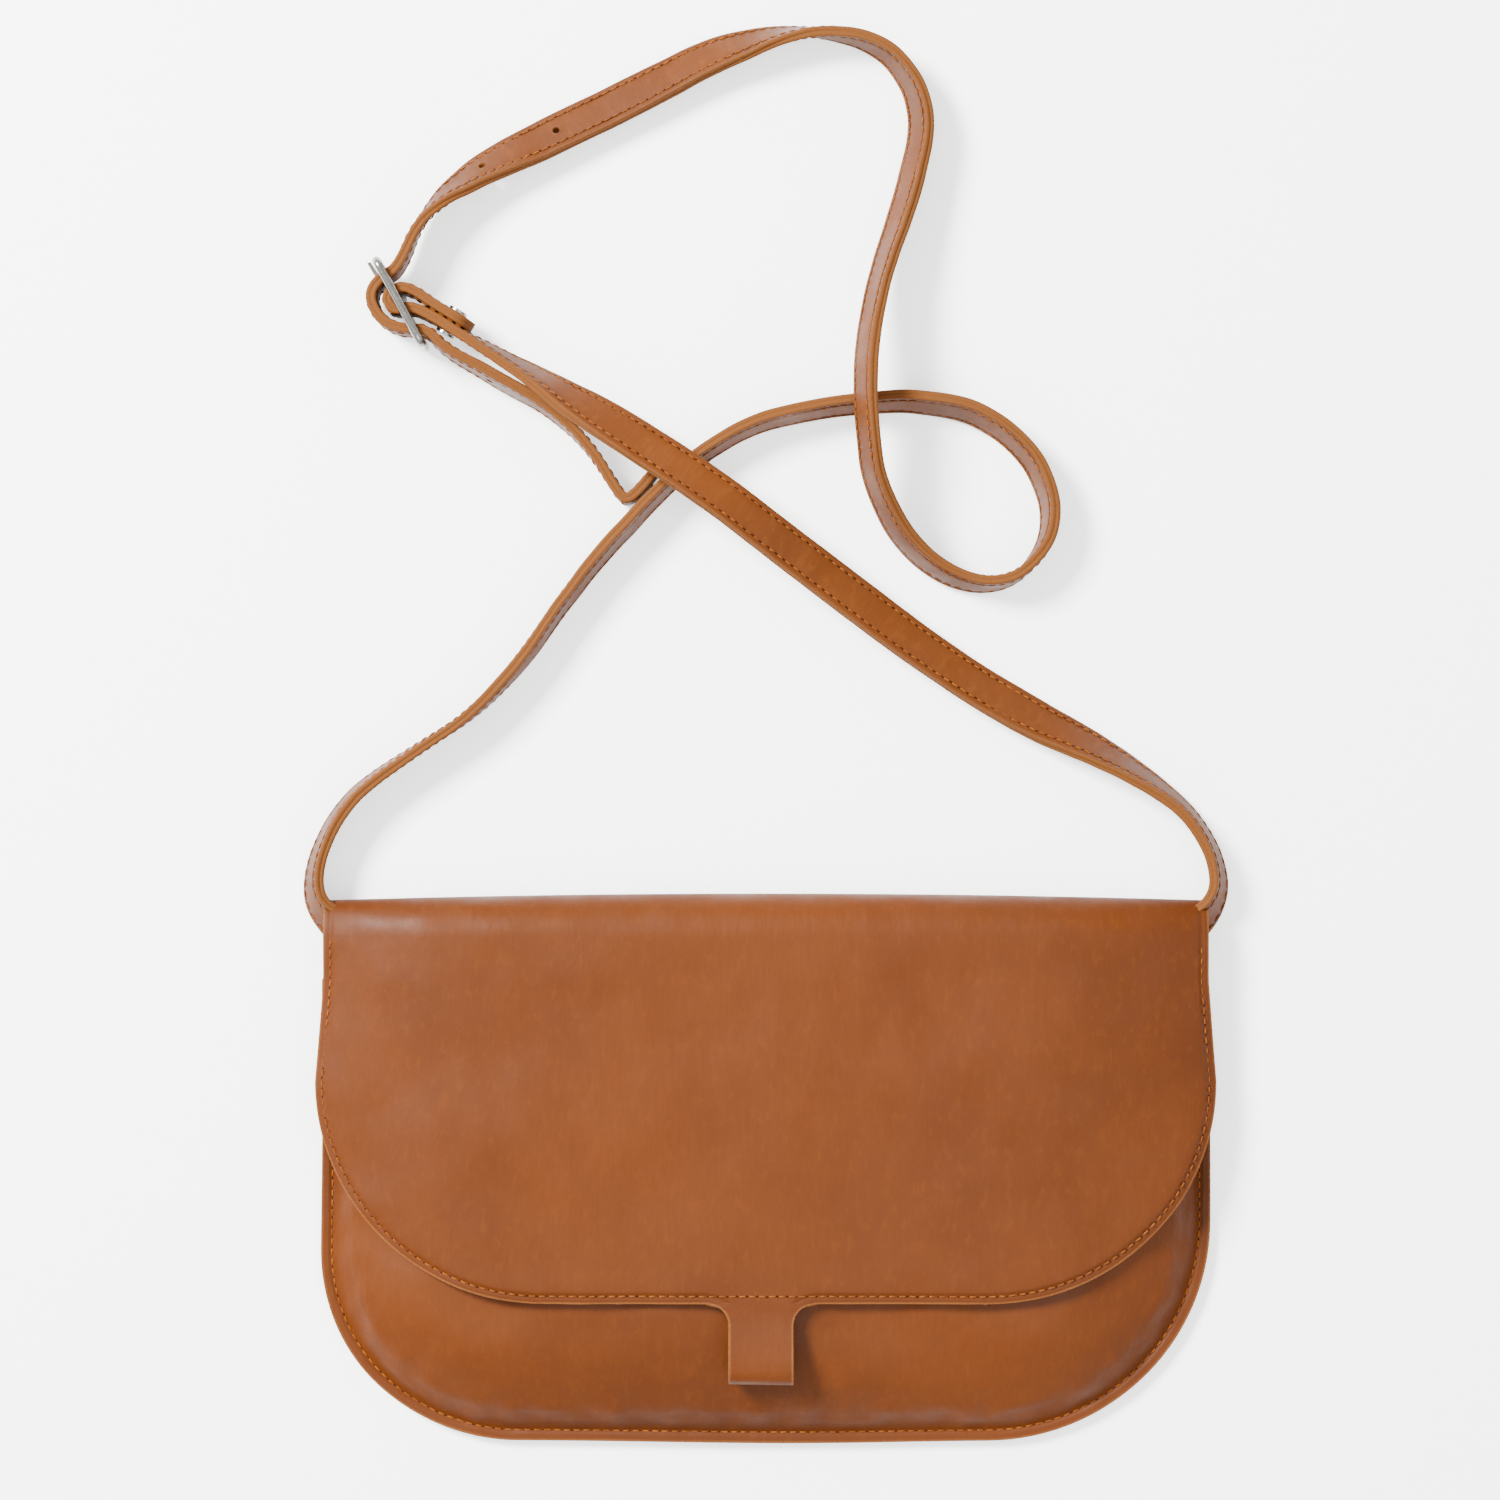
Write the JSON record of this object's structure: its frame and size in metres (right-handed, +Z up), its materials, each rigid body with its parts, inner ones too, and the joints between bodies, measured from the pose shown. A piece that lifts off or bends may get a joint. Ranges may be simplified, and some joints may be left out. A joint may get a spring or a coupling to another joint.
{
  "type": "crossbody purse",
  "caption": "Flat tan leather crossbody purse with a wide rounded flap, a folded pull loop and a long buckled strap, lying on its back.",
  "frame": {"origin": "middle of the pouch's underside, on the table that the purse lies on", "axes": "+X along the purse's width to the right, +Y from the pouch's base towards its top edge and the strap, +Z up through the closed flap"},
  "size_m": [0.2792, 0.4326, 0.0295],
  "materials": {
    "hide": "smooth vegetable-tanned tan leather, fine grain, satin",
    "strap_leather": "tan strap leather with raw, slightly lighter edges",
    "suede": "thin brown suede lining",
    "thread": "waxed light tan thread",
    "nickel": "polished nickel"
  },
  "bodies": {
    "pouch": {"back_panel": "hide", "back_lining": "suede", "front_panel": "hide", "front_lining": "suede", "pouch_seam_thread": "thread", "snap_socket": "nickel", "socket_washer": "nickel", "left_strap_end": "strap_leather", "right_strap_end": "strap_leather", "strap_end_stitches": "thread", "long_strap_face": "strap_leather", "long_strap_backing": "strap_leather", "short_strap_face": "strap_leather", "short_strap_backing": "strap_leather", "buckle_frame": "nickel", "buckle_centre_bar": "nickel", "strap_rivet": "nickel", "rivet_cap": "nickel"},
    "flap": {"flap_outer": "hide", "flap_lining": "suede", "snap_plug": "nickel", "plug_washer": "nickel"},
    "tongue": {"buckle_tongue": "nickel"}
  },
  "joints": [
    {"name": "flap_hinge", "type": "hinge", "parent": "pouch", "child": "flap", "pos_m": [0, 0.08013, 0.01963], "axis": [-1, 0, 0], "range_deg": [0, 150]},
    {"name": "tongue_pivot", "type": "hinge", "parent": "pouch", "child": "tongue", "pos_m": [-0.11119, 0.26415, 0.0097], "axis": [0, 0, 1], "range_deg": [0, 8]}
  ]
}
